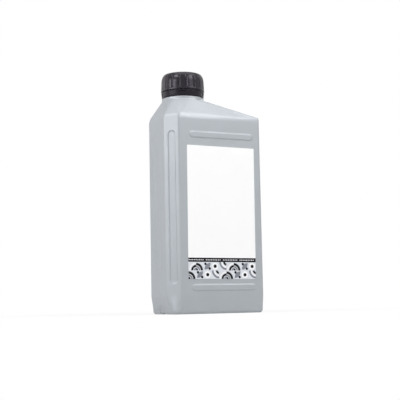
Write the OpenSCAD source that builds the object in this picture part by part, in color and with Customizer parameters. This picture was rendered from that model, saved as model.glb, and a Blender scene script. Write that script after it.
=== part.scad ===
// Oil bottle of about one litre: a blown bottle with an offset neck, a fluted screw cap that
// travels on its thread, the tamper ring the cap leaves behind, a foam liner and a front label.
// X runs along the wide face, -Y is the front, the bottle stands on Z = 0.

/* [Body] */
// Width of the body along X
body_w = 103; // [92:0.2:120]
// Depth of the body along Y
body_d = 59.4; // [52:0.2:70]
// Height of the crease between the walls and the shoulder
crease_z = 196.2; // [170:0.1:220]
// Height from the crease to the foot of the neck
shoulder_rise = 18.1; // [14:0.1:24]
// Radius of the soft edges of the body
edge_r = 3; // [2.5:0.25:5]
// Size of the 45 degree corner faces on the neck side
corner_cut = 11.2; // [8:0.1:14]
// How much the walls draw in from the taper up to the crease
draft = 0.15; // [0.05:0.05:0.5]
// Wall thickness of the body
wall = 1.3; // [1:0.1:1.8]

/* [Base] */
// Height at which the walls start to draw in
taper_z = 18; // [12:0.5:24]
// How far the neck-side end draws in at the base
near_inset = 3.7; // [1:0.1:5]
// How far the other walls draw in at the base
side_inset = 0.7; // [0.5:0.1:3]
// Radius of the neck-side corners at the base
base_corner_r = 9; // [6:0.5:14]
// Width of the rim that the bottle stands on
foot_w = 6; // [4:0.5:9]
// Height of the raised floor inside that rim
push_up = 3; // [1.5:0.25:5]
// Width of the relief across the rim at the mould's parting plane
relief_w = 12; // [8:0.5:16]
// Depth of that relief
relief_h = 1.6; // [0.8:0.1:2.4]
// Half the width of the arched notch above that relief, on both ends
notch_r = 6.6; // [5:0.1:8]
// Height of the top of the notch
notch_top_z = 9.4; // [8:0.1:12]
// Depth of the notch
notch_depth = 0.7; // [0.4:0.05:0.9]

/* [Bars] */
// Height of the raised and sunk bars
bar_h = 7; // [5:0.25:9]
// How far the bars stand out or sink in
bar_rise = 0.8; // [0.5:0.05:1]
// Width of the sloped edge of a bar
bar_edge = 1.2; // [0.8:0.1:1.6]
// Length of the bars on the wide faces
face_bar_len = 71.4; // [60:0.2:76]
// Middle of those bars along X
face_bar_x = 6.5; // [5:0.1:8]
// Height of the upper bar on the wide faces
upper_bar_z = 176.7; // [172:0.1:180]
// Height of the lower bar on the wide faces
lower_bar_z = 25.6; // [23:0.1:28]
// Lower end of the sunk bars on the corner faces
corner_bar_z0 = 29.3; // [24:0.1:40]
// Upper end of the sunk bars on the corner faces
corner_bar_z1 = 180.5; // [160:0.1:182]
// Distance between the two ribs on the neck-side end
rib_gap = 14.6; // [10:0.2:20]
// Width of those ribs
rib_w = 4; // [3:0.25:5]
// How far those ribs stand out
rib_rise = 0.5; // [0.3:0.05:0.8]
// Lower end of the ribs
rib_z0 = 45; // [35:1:60]
// Upper end of the ribs
rib_z1 = 180; // [150:1:182]

/* [Neck] */
// Place of the neck along X
neck_x = -21.3; // [-24:0.1:-12]
// Outer radius of the neck's collar
collar_r = 21.3; // [21:0.05:21.6]
// Height of the collar
collar_h = 2.8; // [2.4:0.1:5]
// Radius of the hollow between the collar and the shoulder
fillet_r = 2.8; // [2:0.1:4]
// Height of the threaded finish above the collar
finish_h = 21.7; // [21.2:0.1:24]
// Radius of the bore through the neck
bore_r = 15.9; // [15:0.1:16.2]
// Radius of the finish at the foot of its thread
thread_root_r = 17.9; // [17.7:0.05:18]
// Radius of the finish at the crest of its thread
thread_crest_r = 19; // [18.8:0.05:19.1]
// Pitch of the thread
pitch = 4.2; // [3.8:0.1:5]
// Turns of the thread on the neck
neck_turns = 1.5; // [1:0.25:1.75]
// Turns of the thread in the cap
cap_turns = 1.25; // [1:0.25:1.5]
// Width of a thread ridge at its foot
ridge_w = 1.9; // [1.5:0.1:2.1]
// Width of a thread ridge at its crest
ridge_crest_w = 0.8; // [0.5:0.1:1]

/* [Cap] */
// Outer radius of the cap at the foot of its skirt
cap_r = 22.1; // [21.8:0.05:22.6]
// Height of the plain lip round the foot of the skirt
cap_lip_h = 2; // [1.5:0.1:3]
// How much narrower the skirt is at its top
cap_draft = 0.3; // [0.1:0.1:0.6]
// Width of the rounded top edge
cap_round_w = 4.2; // [3:0.1:4.6]
// Height of the rounded top edge
cap_round_h = 10; // [8:0.5:12]
// Thickness of the cap's top
cap_top_t = 1.7; // [1.4:0.1:2.4]
// Number of grooves round the skirt
grooves = 18; // [12:1:24]
// Radius of the cutter that makes a groove
groove_r = 1.3; // [0.9:0.1:1.6]
// Depth of a groove
groove_depth = 0.9; // [0.5:0.05:1]
// Gap between the two threads, measured outward
thread_gap = 0.35; // [0.3:0.05:0.4]
// Thickness of the foam liner
liner_t = 1.3; // [1:0.1:2]
// Gap between the liner and the rim of the neck
liner_gap = 0.3; // [0.2:0.05:0.5]

/* [Tamper ring] */
// Height of the ring
ring_h = 5.8; // [5.6:0.1:7]
// Outer radius of the ring at its top
ring_r = 21.8; // [21.6:0.05:22]
// How much narrower the ring is at its foot
ring_draft = 0.5; // [0:0.1:0.6]
// Gap between the ring and the collar
ring_gap = 0.4; // [0.3:0.05:0.6]
// Gap between the ring and the skirt of the cap
ring_cap_gap = 0.7; // [0.5:0.05:1]
// Number of windows round the ring
ring_windows = 5; // [3:1:8]
// Number of broken bridges on the ring's upper edge
bridges = 15; // [9:1:24]

/* [Label] */
// Width of the label
label_w = 74.9; // [66:0.1:76]
// Upper edge of the label
label_z1 = 166.1; // [150:0.1:168]
// Lower edge of the label
label_z0 = 33.8; // [31:0.1:45]
// Middle of the label along X
label_x = 5.2; // [4.2:0.1:7]
// Thickness of the label
label_t = 0.16; // [0.1:0.02:0.3]
// Turn of the label on the face, in degrees
label_tilt = 0.45; // [0:0.05:0.6]
// Thickness of the printed fields
print_t = 0.05; // [0.03:0.01:0.1]
// Height of the dark band
band_h = 4.1; // [3:0.1:6]
// Height of the patterned strip under the band
strip_h = 16.6; // [14:0.2:20]
// Number of pattern tiles along the strip
tiles = 9; // [6:1:12]

/* [Hidden] */
// A small length by which cutters and joined solids overlap
lap = 0.5;
soft_fn = 32;
round_fn = 96;
groove_fn = 24;
half_w = body_w / 2;
half_d = body_d / 2;
neck_z = crease_z + shoulder_rise;
collar_top = neck_z + collar_h;
rim_z = collar_top + finish_h;
// Radius of the bore's soft upper edge
rim_round = 0.6;
// How far a soft edge's sphere really reaches, since its facets have no pole
edge_reach = edge_r * cos(180 / soft_fn);
// Height of the centres of the crease's soft edge
wall_top_z = crease_z - edge_r / 3;
// Share of the wall by which the shoulder's upper circle is drawn in on the inside
throat_share = 0.9;
neck_wall = 1.8;
// Drop of the sloped inner step that narrows the collar to the bore
step_drop = 3;
// Lip inside the tamper ring, and its gap below the ridge that keeps the ring on
ring_lip_h = 2.2;
lip_bead_gap = 0.7;
bead_h = 2.4;
bead_z = collar_top + ring_gap + ring_lip_h + lip_bead_gap + bead_h / 2;
bead_r = thread_crest_r + 0.3;

cap_z = collar_top + ring_gap + ring_h + ring_cap_gap;
cap_in_r = thread_crest_r + thread_gap;
cap_crest_r = thread_root_r + thread_gap;
ceiling_z = rim_z + liner_gap + liner_t;
cap_top_z = ceiling_z + cap_top_t;
// The skirt's lean above its lip, which the grooves follow, and the angle of the first groove
cap_shoulder_z = cap_top_z - cap_round_h;
skirt_lean = atan(cap_draft / (cap_shoulder_z - cap_z - cap_lip_h));
groove_turn = 15.8;
// Ridge that holds the liner up in the cap
keeper_h = 0.8;
// Radius of the seat for the liner, and of the liner
seat_r = cap_in_r - 0.35;
liner_r = seat_r - 0.4;
// Lower end of the neck's thread, and of the cap's, half a pitch above it
neck_thread_z = rim_z - 3.2 - neck_turns * pitch;
cap_thread_z = neck_thread_z + pitch / 2;
thread_steps = 24;
// Share of a ridge's length over which it rises from nothing
ridge_fade = 0.12;

ring_z = collar_top + ring_gap;
ring_in_r = bead_r + 0.5;
ring_lip_r = thread_root_r + 0.5;
window_turn = 27.2;
window_depth = 0.9;
window_angle = 21;
window_h = 3.6;
bridge_w = 0.8;
bridge_h = ring_cap_gap - 0.4;

label_h = label_z1 - label_z0;
label_mid_z = (label_z0 + label_z1) / 2;
// The front wall's lean, and its place at the middle of the label
wall_lean = atan(draft / (wall_top_z - taper_z));
label_gap = 0.02;
label_y = edge_r - half_d - edge_reach + (label_mid_z - taper_z) * tan(wall_lean) - label_gap;
tile_w = label_w / tiles;
tile_rows = 2;
tile_h = strip_h / tile_rows;

// Corners of the body in plan, drawn in from the faces by an inset
function plan(inset) =
    let (x = half_w - inset, y = half_d - inset, c = corner_cut - inset * (2 - sqrt(2)))
    [[-x, c - y], [c - x, -y], [x, -y], [x, y], [c - x, y], [-x, y - c]];

// The same at the base, where the neck-side corners are round
function base_plan(inset, steps = 4) =
    let (near_x = half_w - near_inset - inset, far_x = half_w - side_inset - inset,
         y = half_d - side_inset - inset, r = base_corner_r - inset)
    concat([[far_x, -y], [far_x, y]],
           [for (side = [-1, 1]) for (i = [0 : steps]) let (a = 90 * i / steps)
               [r - near_x - r * cos(a), side * (y - r + r * sin(a))]]);

// Slope of the shoulder where it meets the collar, looking out from the neck at angle a
function shoulder_slope(a) =
    min([for (p = plan(edge_r))
        let (reach = (p[0] - neck_x) * cos(a) + p[1] * sin(a) - collar_r,
             rise = neck_z - crease_z + edge_r)
        atan2(rise, reach) - asin(edge_r / norm([reach, rise]))]);

module at_neck() translate([neck_x, 0, 0]) children();

// The body as one soft-edged form: the walls, the drawn-in base and the shoulder up to the neck
module body_form(skin) {
    r = edge_r - skin;
    hull() {
        for (p = base_plan(edge_r)) translate([p[0], p[1], edge_reach]) sphere(r, $fn = soft_fn);
        for (p = plan(edge_r)) translate([p[0], p[1], taper_z]) sphere(r, $fn = soft_fn);
        for (p = plan(edge_r + draft)) translate([p[0], p[1], wall_top_z]) sphere(r, $fn = soft_fn);
        at_neck() translate([0, 0, neck_z - 1 - skin])
            cylinder(r = collar_r - throat_share * skin, h = 1, $fn = round_fn);
    }
}

// A bar with sloped edges along X, standing out along Z from Z = 0; depth goes below the surface
module bar(length, height, rise, edge, depth) {
    run = length / 2 - height / 2;
    top = height / 2 - edge;
    rotate([90, 0, 90]) translate([0, 0, -run]) linear_extrude(2 * run)
        polygon([[-height / 2, -depth], [height / 2, -depth], [height / 2, 0], [top, rise],
                 [-top, rise], [-height / 2, 0]]);
    for (side = [-1, 1]) translate([side * run, 0, 0]) rotate_extrude($fn = soft_fn * 2)
        polygon([[0, -depth], [height / 2, -depth], [height / 2, 0], [top, rise], [0, rise]]);
}

module face_bar(skin) {
    for (side = [-1, 1]) for (z = [lower_bar_z, upper_bar_z])
        translate([face_bar_x, side * (half_d - skin), z]) rotate([-90 * side, 0, 0])
            bar(face_bar_len - skin, bar_h - skin, bar_rise, bar_edge, wall + lap);
}

// The sunk bars of the corner faces: the cutter outside, and the metal left behind it inside
module corner_bar(skin) {
    length = corner_bar_z1 - corner_bar_z0;
    shift = corner_cut / 2;
    for (side = [-1, 1])
        translate([shift - half_w, side * (half_d - shift), corner_bar_z0 + length / 2])
            rotate([0, 0, -45 * side]) translate([skin, 0, 0]) rotate([0, 90, 0])
                bar(length + 2 * skin, bar_h + skin, bar_rise, bar_edge, lap + 2);
}

module end_ribs() {
    radius = (pow(rib_w / 2, 2) + rib_rise * rib_rise) / (2 * rib_rise);
    for (side = [-1, 1]) translate([radius - rib_rise - half_w, side * rib_gap / 2, 0])
        intersection() {
            union() {
                translate([0, 0, rib_z0 + rib_w / 2]) cylinder(r = radius, h = rib_z1 - rib_z0 - rib_w, $fn = round_fn);
                for (z = [rib_z0 + rib_w / 2, rib_z1 - rib_w / 2]) translate([0, 0, z]) sphere(radius, $fn = round_fn);
            }
            translate([-radius - 1, -radius, 0]) cube([rib_rise + 1 + lap, 2 * radius, crease_z]);
        }
}

// The raised floor of the base, kept one wall thick
module floor_form(skin) {
    near_in = near_inset + foot_w - skin;
    side_in = side_inset + foot_w - skin;
    r = base_corner_r / 2;
    rise = push_up + skin;
    hull() for (x = [near_in + r - half_w, half_w - side_in - r]) for (y = [side_in + r - half_d, half_d - side_in - r])
        translate([x, y, -lap]) cylinder(r1 = r + lap, r2 = r - rise / 2, h = rise + lap, $fn = soft_fn * 2);
}

// The relief across the standing rim in the parting plane
module parting_relief(skin) {
    radius = (pow(relief_w / 2, 2) + relief_h * relief_h) / (2 * relief_h);
    translate([-half_w - 1, 0, relief_h - radius]) rotate([0, 90, 0])
        cylinder(r = radius + skin, h = body_w + 2, $fn = round_fn);
}

// The arched notches in the ends above the relief, which lean with the drawn-in walls
module end_notch(skin) {
    depth = notch_depth + skin;
    r = notch_r + skin;
    for (side = [-1, 1]) {
        inset = side < 0 ? near_inset : side_inset;
        translate([side * (half_w - inset), 0, edge_r])
            rotate([0, side * atan(inset / (taper_z - edge_r)), 0])
                translate([side < 0 ? -2 : -depth, 0, notch_top_z - notch_r - edge_r])
                    rotate([90, 0, 90]) linear_extrude(2 + depth) {
                        circle(r, $fn = round_fn);
                        translate([-r, -2 * notch_r]) square([2 * r, 2 * notch_r]);
                    }
    }
}

// The collar and the hollow below it, whose reach follows the slope of the shoulder
module collar() {
    steps = 72;
    arc_steps = 5;
    edge = 0.8;
    inner = thread_root_r - 1.4;
    low = neck_z - step_drop - 3;
    sink = 0.12;
    function section(slope) =
        let (run = fillet_r / tan((90 + slope) / 2))
        concat([[inner, low], [collar_r - lap, low]],
               [for (i = [0 : arc_steps]) let (a = 270 - slope + (slope - 90) * i / arc_steps)
                   [collar_r + fillet_r - sink * sin(slope) + fillet_r * cos(a) + sink * sin(slope) * i / arc_steps,
                    neck_z + run - sink * (1 - i / arc_steps) + fillet_r * sin(a)]],
               [[collar_r, collar_top - edge], [collar_r - edge * 0.3, collar_top - edge * 0.3],
                [collar_r - edge, collar_top], [inner, collar_top]]);
    size = len(section(45));
    points = [for (i = [0 : steps - 1]) let (a = 360 * i / steps)
        for (q = section(shoulder_slope(a))) [q[0] * cos(a), q[0] * sin(a), q[1]]];
    faces = [for (i = [0 : steps - 1]) for (k = [0 : size - 1])
        let (a = i * size + k, b = i * size + (k + 1) % size,
             c = (i + 1) % steps * size + (k + 1) % size, d = (i + 1) % steps * size + k)
        for (face = [[a, b, c], [a, c, d]]) face];
    polyhedron(points, faces);
}

// A ridge wound round Z, rising from foot_r to crest_r and fading out at both ends
module helix_ridge(foot_r, crest_r, turns) {
    count = ceil(turns * thread_steps);
    outward = sign(crest_r - foot_r);
    back_r = foot_r - outward * lap;
    points = [for (i = [0 : count])
        let (t = i / count, a = 360 * turns * t, z = pitch * turns * t,
             f = min(1, t / ridge_fade, (1 - t) / ridge_fade) * 0.98 + 0.02,
             tip_r = foot_r + (crest_r - foot_r) * f,
             section = outward > 0
                 ? [[back_r, -ridge_w / 2], [tip_r, -ridge_crest_w / 2], [tip_r, ridge_crest_w / 2], [back_r, ridge_w / 2]]
                 : [[tip_r, -ridge_crest_w / 2], [back_r, -ridge_w / 2], [back_r, ridge_w / 2], [tip_r, ridge_crest_w / 2]])
        for (q = section) [q[0] * cos(a), q[0] * sin(a), z + q[1]]];
    sides = [for (i = [0 : count - 1]) for (k = [0 : 3])
        let (a = i * 4 + k, b = i * 4 + (k + 1) % 4, c = b + 4, d = a + 4)
        for (face = [[a, b, c], [a, c, d]]) face];
    polyhedron(points, concat(sides, [[3, 2, 1, 0], [for (k = [0 : 3]) count * 4 + k]]));
}

// The neck above the collar, with the ridge that keeps the tamper ring on
module finish() {
    rotate_extrude($fn = round_fn) polygon([
        [0, collar_top - step_drop], [thread_root_r, collar_top - step_drop],
        [thread_root_r, bead_z - bead_h / 2], [bead_r, bead_z - bead_h / 4], [bead_r, bead_z],
        [thread_root_r, bead_z + bead_h / 2], [thread_root_r, rim_z - rim_round],
        [thread_root_r - rim_round, rim_z], [0, rim_z]]);
}

// The inside of the neck: the throat, the sloped step and the bore
module neck_hollow() {
    throat_r = collar_r - neck_wall;
    step_z = collar_top - step_drop;
    rotate_extrude($fn = round_fn) polygon([
        [0, neck_z - collar_h], [throat_r, neck_z - collar_h], [throat_r, step_z],
        [bore_r, step_z + throat_r - bore_r], [bore_r, rim_z + 1], [0, rim_z + 1]]);
}

module bottle() {
    color("silver") difference() {
        union() {
            body_form(0);
            face_bar(0);
            end_ribs();
            at_neck() collar();
            at_neck() finish();
            at_neck() translate([0, 0, neck_thread_z]) helix_ridge(thread_root_r, thread_crest_r, neck_turns);
        }
        corner_bar(0);
        floor_form(0);
        parting_relief(0);
        end_notch(0);
        at_neck() neck_hollow();
        difference() {
            union() {
                body_form(wall);
                face_bar(wall);
            }
            corner_bar(wall);
            floor_form(wall);
            parting_relief(wall);
            end_notch(wall);
        }
    }
}

module ring_window(angle) {
    span = ring_r * sin(window_angle / 2);
    rotate([0, 0, angle]) translate([ring_r, 0, ring_z + ring_h / 2]) rotate([90, 0, 90])
        translate([0, 0, -window_depth]) linear_extrude(2)
            polygon([[-span, window_h / 2], [span, window_h / 2], [span * 0.6, -window_h / 2], [-span * 0.6, -window_h / 2]]);
}

module tamper_ring() {
    lip_top = ring_z + ring_lip_h;
    top = ring_z + ring_h;
    foot_r = ring_r - ring_draft;
    color([0.12, 0.12, 0.13]) at_neck() {
        difference() {
            rotate_extrude($fn = round_fn) polygon([
                [ring_lip_r, lip_top - 0.8], [ring_in_r, ring_z], [foot_r - 0.4, ring_z], [foot_r, ring_z + 0.4],
                [ring_r, top - 0.4], [ring_r - 0.4, top], [ring_in_r, top], [ring_in_r, lip_top + 1], [ring_lip_r, lip_top]]);
            for (i = [0 : ring_windows - 1]) ring_window(window_turn + 360 * i / ring_windows);
        }
        for (i = [0 : bridges - 1]) rotate([0, 0, 360 * i / bridges])
            translate([(ring_in_r + ring_r) / 2 - bridge_w / 2, -bridge_w / 2, top - lap])
                cube([bridge_w, bridge_w, bridge_h + lap]);
    }
}

module cap_liner() {
    color("gainsboro") at_neck() translate([0, 0, rim_z + liner_gap]) cylinder(r = liner_r, h = liner_t, $fn = round_fn);
}

// Outside of the cap in section, with the rounded top edge
module cap_outline() {
    top_r = cap_r - cap_draft;
    polygon(concat(
        [[0, cap_z], [cap_r - 0.4, cap_z], [cap_r, cap_z + 0.4], [cap_r, cap_z + cap_lip_h]],
        [for (i = [0 : 8]) let (a = 90 * i / 8)
            [top_r - cap_round_w + cap_round_w * cos(a), cap_shoulder_z + cap_round_h * sin(a)]],
        [[0, cap_top_z]]));
}

// Inside of the cap in section, with the ridge that keeps the liner up
module cap_hollow_outline() {
    keeper_z = rim_z + liner_gap;
    polygon([[0, cap_z - 1], [cap_in_r + 0.3, cap_z - 1], [cap_in_r + 0.3, cap_z + 0.3], [cap_in_r, cap_z + 0.6],
             [cap_in_r, keeper_z - keeper_h], [cap_crest_r + 0.05, keeper_z - keeper_h / 2], [seat_r, keeper_z],
             [seat_r, ceiling_z], [0, ceiling_z]]);
}

module cap() {
    color([0.1, 0.1, 0.11]) at_neck() {
        difference() {
            rotate_extrude($fn = round_fn) cap_outline();
            rotate_extrude($fn = round_fn) cap_hollow_outline();
            for (i = [0 : grooves - 1]) rotate([0, 0, groove_turn + 360 * i / grooves])
                translate([cap_r + groove_r - groove_depth, 0, cap_z + cap_lip_h]) rotate([0, -skirt_lean, 0])
                    cylinder(r = groove_r, h = cap_top_z - cap_z, $fn = groove_fn);
        }
        translate([0, 0, cap_thread_z]) helix_ridge(cap_in_r, cap_crest_r, cap_turns);
    }
}

// Puts a drawing in the plane of the label, with its origin at the label's middle
module on_label(lift, thickness) {
    translate([label_x, label_y - lift, label_mid_z]) rotate([90 - wall_lean, label_tilt, 0])
        linear_extrude(thickness) children();
}

module front_label() {
    color("white") on_label(0, label_t) square([label_w, label_h], center = true);
}

module label_strip() {
    color([0.86, 0.87, 0.89]) on_label(label_t, print_t)
        translate([-label_w / 2, -label_h / 2]) square([label_w, strip_h]);
}

// A quarter disc in a tile, with its centre in the corner at those shares of its width and height
module quarter(across, up, size) {
    intersection() {
        translate([across * tile_w, up * tile_h]) circle(size, $fn = soft_fn);
        square([tile_w, tile_h]);
    }
}

module each_tile(remainder) {
    for (i = [0 : tiles - 1]) for (j = [0 : tile_rows - 1]) if ((i * 2 + j * 3) % 5 == remainder)
        translate([i * tile_w - label_w / 2, j * tile_h - label_h / 2]) children();
}

module label_pattern_grey() {
    color([0.55, 0.56, 0.6]) on_label(label_t + print_t, print_t) {
        each_tile(0) quarter(0, 0, tile_h * 0.9);
        each_tile(2) quarter(0, 1, tile_h * 0.9);
        each_tile(3) translate([tile_w / 2, tile_h / 2]) circle(tile_h * 0.2, $fn = soft_fn);
    }
}

module label_pattern_black() {
    color([0.1, 0.1, 0.12]) on_label(label_t + print_t, print_t) {
        translate([-label_w / 2, strip_h - label_h / 2]) square([label_w, band_h]);
        each_tile(1) quarter(1, 0, tile_h * 0.9);
        each_tile(4) quarter(1, 1, tile_h * 0.9);
    }
}

bottle();
tamper_ring();
cap_liner();
cap();
front_label();
label_strip();
label_pattern_grey();
label_pattern_black();
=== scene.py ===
import math

import bpy
import numpy as np
from mathutils import Matrix, Vector


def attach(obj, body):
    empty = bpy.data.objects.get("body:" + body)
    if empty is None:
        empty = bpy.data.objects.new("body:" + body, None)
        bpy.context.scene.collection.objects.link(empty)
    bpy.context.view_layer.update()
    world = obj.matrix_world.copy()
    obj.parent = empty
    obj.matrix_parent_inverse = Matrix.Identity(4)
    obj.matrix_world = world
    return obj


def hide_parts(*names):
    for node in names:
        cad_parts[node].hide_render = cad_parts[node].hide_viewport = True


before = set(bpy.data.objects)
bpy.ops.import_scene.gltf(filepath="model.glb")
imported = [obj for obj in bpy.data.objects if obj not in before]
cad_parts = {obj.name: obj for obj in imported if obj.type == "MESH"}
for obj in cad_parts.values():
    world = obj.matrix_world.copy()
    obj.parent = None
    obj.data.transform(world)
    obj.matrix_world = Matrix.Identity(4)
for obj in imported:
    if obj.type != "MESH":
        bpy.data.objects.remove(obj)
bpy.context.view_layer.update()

# Metres in a millimetre, and the decimals of a millimetre that points and marks are told apart by
MM = 0.001
MERGE_DIGITS = 4
MARK_DIGITS = 5

# Sizes of the body, in millimetres; the far end stays just inside the CAD model's box
HALF_W = 51.5
FAR_X = 51.485
HALF_D = 29.7
CORNER_CUT = 11.2
CREASE_Z = 196.2
NECK_Z = 214.3
EDGE_R = 3.0
DRAFT = 0.15
WALL = 1.3
TAPER_Z = 18.0
NEAR_INSET = 3.7
SIDE_INSET = 0.7
BASE_CORNER_R = 9.0
TAPER_EASE = 1.06
FOOT_W = 6.0
PUSH_UP = 3.0
RELIEF_HALF_W = 6.0
RELIEF_H = 1.6
WALL_TOP_Z = CREASE_Z - EDGE_R / 3
WALL_LEAN = DRAFT / (WALL_TOP_Z - TAPER_Z)

# How far the soft crease reaches from the corner line, at the neck side and at the far end
CREASE_EASE = 4.2
FAR_CREASE_EASE = 2.4
FAR_END_COSINE = 0.7

# Sizes of the bars, ribs and marks on the walls
BAR_HALF_H = 3.5
BAR_RISE = 0.8
BAR_EDGE = 1.2
CORNER_BAR_HALF_W = 4.1
FACE_BAR_X = 6.5
FACE_BAR_RUN = 32.2
FACE_BAR_ZS = (25.6, 176.7)
CORNER_BAR_Z0 = 29.3
CORNER_BAR_Z1 = 180.5
RIB_Y = 7.3
RIB_HALF_W = 2.0
RIB_RISE = 0.5
RIB_FULLNESS = 0.8
RIB_Z0 = 45.0
RIB_Z1 = 180.0
NOTCH_HALF_W = 6.6
NOTCH_TOP_Z = 9.4
NOTCH_DEPTH = 0.7
NOTCH_EDGE = 1.1
SEAM_HALF_W = 0.35
SEAM_RISE = 0.09
SEAM_FADE = 2

# Steps between the columns and rows of the body's mesh
STEPS_PER_TURN = 96
ROUND_STEPS = 8
INNER_ROUND_STEPS = 6
CREASE_STEPS = 12
SLOPE_STEPS = 13
CORNER_STEP = 2
NEAR_END_STEP = 3
FACE_STEP = 4
WALL_STEP = 6
TAPER_STEP = 1.2
FINE_STEP = 0.35
BAR_EDGE_STEP = 0.25
BAR_FLOOR_STEP = 0.6
NOTCH_ROW_STEP = 0.4
NOTCH_FLOOR_STEP = 0.9
SEAM_STEP = 0.2

# How far the finer steps reach past or beside each mark
BAR_MARGIN = 0.3
BAR_FLOOR_REACH = 2
BAR_END_BEFORE = 0.4
BAR_END_AFTER = 0.6
RIB_REACH = 9.8
NOTCH_OUTSIDE = 0.4
NOTCH_INSIDE = 1.6
NOTCH_FLOOR_REACH = 4.6
NOTCH_ABOVE = 0.8
SEAM_REACH = 0.6

# Heights with finer rows, as start, end and step, for the bars and the foot of the ribs
WALL_ROW_ZONES = [(21.8, 33.2, 0.35), (44.8, 48, 0.5), (172.9, 181, 0.35)]

# Rings of the underside, as inset and height, from the raised floor out to the rim
UNDERSIDE_RINGS = [(FOOT_W + 5.5, PUSH_UP), (FOOT_W + 2.1, PUSH_UP), (FOOT_W + 1.4, PUSH_UP - 0.25),
                   (FOOT_W + 0.7, PUSH_UP / 2), (FOOT_W + 0.15, 0.3), (FOOT_W - 0.4, 0)]

# Heights of the rows inside the body
INNER_WALL_ZS = (150, 100, 50, TAPER_Z)

# Sizes of the neck
NECK_X = -21.3
COLLAR_R = 21.3
COLLAR_TOP = 217.1
COLLAR_EDGE = 0.8
COLLAR_SIDE = 0.6
COLLAR_STEPS = 6
FILLET_R = 2.8
RIM_Z = 238.8
RIM_ROUND = 0.6
RIM_STEPS = 5
RIM_INNER_STEPS = 4
BORE_R = 15.9
THROAT_R = 19.5
THROAT_Z = NECK_Z - 0.5
STEP_Z = COLLAR_TOP - 3.0
ROOT_R = 17.9
CREST_R = 19.0
PITCH = 4.2
NECK_TURNS = 1.5
CAP_TURNS = 1.25
RIDGE_HALF_W = 0.95
RIDGE_CREST_HALF_W = 0.4
RIDGE_FADE = 0.12
NECK_THREAD_Z = 229.3
CAP_THREAD_Z = 231.4
NECK_ROW_STEP = 0.25
CAP_ROW_STEP = 0.3
SAME_R = 0.01
BEAD_Z = 221.6
BEAD_R = 19.3
BEAD_H = 2.4
BEAD_LOW_Z = BEAD_Z - BEAD_H / 4
BEAD_HEAD_Z = BEAD_Z + BEAD_H / 2

# Radius and height of the points from the collar over the retaining bead to the thread's foot
BEAD_PROFILE = [(ROOT_R + 0.4, COLLAR_TOP), (ROOT_R, COLLAR_TOP + 0.4), (ROOT_R, BEAD_Z - BEAD_H / 2 - 0.1),
                (BEAD_R - 0.25, BEAD_LOW_Z - 0.1), (BEAD_R, BEAD_LOW_Z + 0.2), (BEAD_R, BEAD_Z - 0.1),
                (BEAD_R - 0.15, BEAD_Z + 0.2), (ROOT_R + 0.1, BEAD_HEAD_Z), (ROOT_R, BEAD_HEAD_Z + 0.3)]

# Radius and height of the points down the bore and over its step to the throat
BORE_PROFILE = [(BORE_R, 234), (BORE_R, 226), (BORE_R, STEP_Z + THROAT_R - BORE_R + 0.2),
                (THROAT_R - 0.1, STEP_Z + 0.2), (THROAT_R, STEP_Z - 0.2), (THROAT_R, THROAT_Z)]

# Sizes of the cap
CAP_Z = 224.0
CAP_R = 22.1
CAP_LIP_TOP = CAP_Z + 2.0
CAP_LIP_ROUND = 0.4
CAP_LIP_STEPS = 4
CAP_DRAFT = 0.3
CAP_ROUND_W = 4.2
CAP_ROUND_H = 10.0
CAP_ROUND_DEGREES = 84
CAP_ROUND_POINTS = 22
CAP_SKIRT_POINTS = 12
CAP_TOP_Z = 242.1
CEILING_Z = 240.4
KEEPER_Z = 239.1
CAP_IN_R = 19.35
SEAT_R = 19.0
CAP_CREST_R = 18.25
GROOVES = 18
GROOVE_COLUMNS = 22
GROOVE_R = 1.0
GROOVE_DEPTH = 0.98
GROOVE_TURN = 15.8
GROOVE_ROUND = 0.22
GROOVE_FADE = (CAP_LIP_TOP - 0.3, CAP_LIP_TOP + 0.05)
LIP_FLAT_TOP = CAP_LIP_TOP - 0.25

# Heights of the points on the plain lip, above its rounded foot
CAP_LIP_ZS = (CAP_LIP_TOP - 0.12, CAP_LIP_TOP - 0.3, CAP_LIP_TOP - 0.9)

# Radius and height of the points at the mouth of the cap, and from its thread up to the liner's seat
CAP_MOUTH_PROFILE = [(CAP_IN_R + 0.5, CAP_Z), (CAP_IN_R + 0.3, CAP_Z + 0.2), (CAP_IN_R, CAP_Z + 0.6)]
CAP_SEAT_PROFILE = [(CAP_IN_R, KEEPER_Z - 0.8), (CAP_CREST_R + 0.1, KEEPER_Z - 0.45),
                    (CAP_CREST_R + 0.1, KEEPER_Z - 0.3), (SEAT_R, KEEPER_Z), (SEAT_R, CEILING_Z - 0.3),
                    (SEAT_R - 0.3, CEILING_Z)]
CAP_THREAD_ZS = np.arange(CAP_Z + 1, KEEPER_Z - 0.9, CAP_ROW_STEP)

# Sizes of the tamper ring
RING_Z = 217.5
RING_H = 5.8
RING_TOP = RING_Z + RING_H
RING_R = 21.8
RING_DRAFT = 0.5
RING_ROUND = 0.4
RING_ROUND_STEPS = 4
RING_ROW_STEP = 0.6
RING_COLUMNS = 600
RING_IN_R = 19.8
RING_LIP_R = 18.4
RING_LIP_TOP = RING_Z + 2.2
RING_WINDOWS = 5
WINDOW_TURN = 27.2
WINDOW_DEPTH = 0.9
WINDOW_HALF_ANGLE = 10.5
WINDOW_FOOT_SHARE = 0.6
WINDOW_HALF_H = 1.8
WINDOW_EDGE = 0.35
WINDOW_REACH = 0.5
WINDOW_ROW_STEP = 0.16
BRIDGES = 15
BRIDGE_W = 0.8
BRIDGE_H = 0.3
BRIDGE_LAP = 0.3

# Radius and height of the points inside the ring, down over its catch
RING_INSIDE = [(RING_IN_R, RING_TOP), (RING_IN_R, RING_LIP_TOP + 1), (RING_LIP_R + 0.1, RING_LIP_TOP + 0.05),
               (RING_LIP_R, RING_LIP_TOP - 0.2), (RING_LIP_R, RING_LIP_TOP - 0.7), (RING_IN_R, RING_Z)]

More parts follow.
